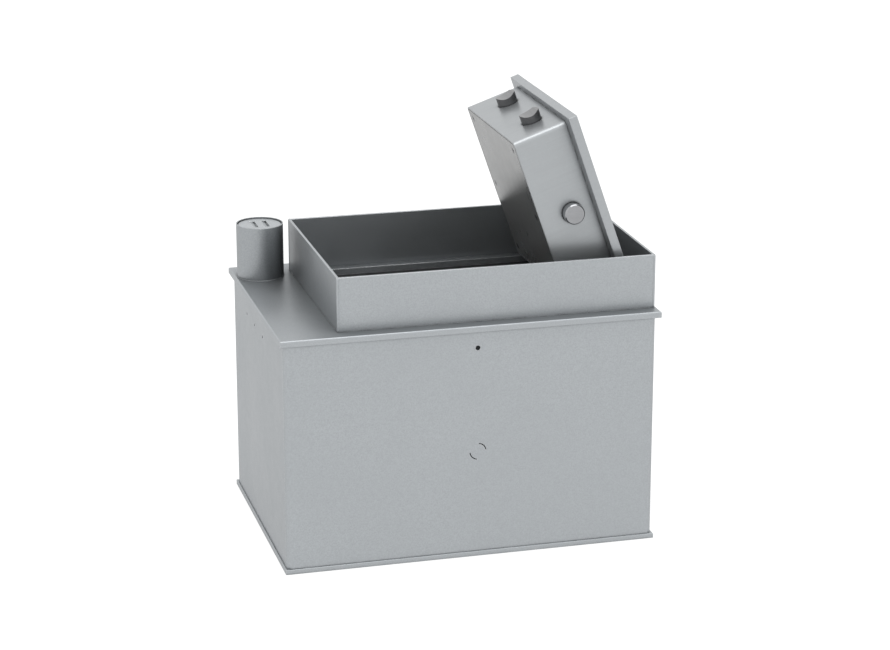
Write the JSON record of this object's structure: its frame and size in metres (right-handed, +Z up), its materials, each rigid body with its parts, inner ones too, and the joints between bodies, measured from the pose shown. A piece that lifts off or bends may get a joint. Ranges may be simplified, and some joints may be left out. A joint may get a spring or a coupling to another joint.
{
  "type": "underfloor cash box",
  "caption": "Welded steel underfloor cash box with a collar round its doorway, a lidded deposit tube and a thick hinged door with handle-driven locking bolts.",
  "frame": {"origin": "middle of the body footprint at the underside of the base plate", "axes": "+X along the box towards the door hinge, +Y from the front wall to the rear wall, +Z up"},
  "size_m": [0.47, 0.326, 0.5341],
  "materials": {
    "grey_paint": "light grey baked paint, fine grain",
    "frame_paint": "light grey paint, thinner, over raw bar",
    "door_paint": "light grey paint over brushed sheet",
    "cover_paint": "light grey paint",
    "dark_steel": "dark turned steel",
    "bright_steel": "bright turned steel",
    "zinc_steel": "zinc-plated steel",
    "screw_steel": "dark plated screws",
    "guide_steel": "plain turned steel",
    "bush_brass": "turned brass",
    "lock_zinc": "cast zinc case, satin",
    "handle_steel": "satin nickel",
    "escutcheon_steel": "satin nickel"
  },
  "bodies": {
    "safe": {"base_plate": "grey_paint", "front_panel": "grey_paint", "rear_panel": "grey_paint", "left_side": "grey_paint", "right_side": "grey_paint", "top_plate": "grey_paint", "collar_front": "grey_paint", "collar_rear": "grey_paint", "collar_left": "grey_paint", "collar_right": "grey_paint", "deposit_tube": "grey_paint", "lid_seat_ring": "grey_paint", "fixed_panel": "grey_paint", "frame_bar_front": "frame_paint", "frame_bar_rear": "frame_paint", "frame_bar_hinge": "frame_paint", "frame_bar_left": "frame_paint", "strike_bar": "frame_paint", "deposit_chute": "frame_paint", "hinge_brackets": "frame_paint", "hinge_pins": "zinc_steel"},
    "door": {"door_plate": "door_paint", "bolt_casing": "door_paint", "hinge_straps": "door_paint", "cover_blocks": "door_paint", "inner_cover": "cover_paint", "cover_screws": "screw_steel", "end_bolt_guides": "guide_steel", "side_bolt_guides": "guide_steel", "spindle_bush": "bush_brass", "lock_case": "lock_zinc", "lock_screws": "screw_steel", "keyhole_plate": "escutcheon_steel", "flap_rivet": "screw_steel"},
    "handle": {"door_handle": "handle_steel", "handle_spindle": "zinc_steel", "spindle_collar": "zinc_steel", "cam_disc": "zinc_steel"},
    "end_bolts": {"end_bolts": "dark_steel", "end_bolt_carriage": "zinc_steel"},
    "side_bolt_front": {"front_side_bolt": "bright_steel", "front_drive_bar": "zinc_steel"},
    "side_bolt_rear": {"rear_side_bolt": "bright_steel", "rear_drive_bar": "zinc_steel"},
    "keyhole_flap": {"keyhole_flap": "escutcheon_steel"},
    "tube_lid": {"tube_lid": "grey_paint"}
  },
  "joints": [
    {"name": "door_hinge", "type": "hinge", "parent": "safe", "child": "door", "pos_m": [0.223, -0.0047, 0.2995], "axis": [0, 1, 0], "range_deg": [-70.74, 19.26]},
    {"name": "handle_turn", "type": "hinge", "parent": "door", "child": "handle", "pos_m": [0.17374, -0.0047, 0.42381], "axis": [0.944, 0, 0.3299], "range_deg": [0, 90]},
    {"name": "end_bolts_slide", "type": "slide", "parent": "door", "child": "end_bolts", "axis": [-0.3299, 0, 0.944], "range_m": [0, 0.01397]},
    {"name": "side_bolt_front_slide", "type": "slide", "parent": "door", "child": "side_bolt_front", "axis": [0, -1, 0], "range_m": [0, 0.014]},
    {"name": "side_bolt_rear_slide", "type": "slide", "parent": "door", "child": "side_bolt_rear", "axis": [0, 1, 0], "range_m": [0, 0.014]},
    {"name": "keyhole_flap_swing", "type": "hinge", "parent": "door", "child": "keyhole_flap", "pos_m": [0.19442, -0.0047, 0.37161], "axis": [0.944, 0, 0.3299], "range_deg": [-100, 100]},
    {"name": "tube_lid_lift", "type": "slide", "parent": "safe", "child": "tube_lid", "axis": [0, 0, 1], "range_m": [0, 0.08]}
  ],
  "couplings": [
    {"joint": "handle_turn", "follows": "end_bolts_slide", "rad_per_m": 112.36},
    {"joint": "side_bolt_front_slide", "follows": "end_bolts_slide", "ratio": 1},
    {"joint": "side_bolt_rear_slide", "follows": "end_bolts_slide", "ratio": 1}
  ]
}
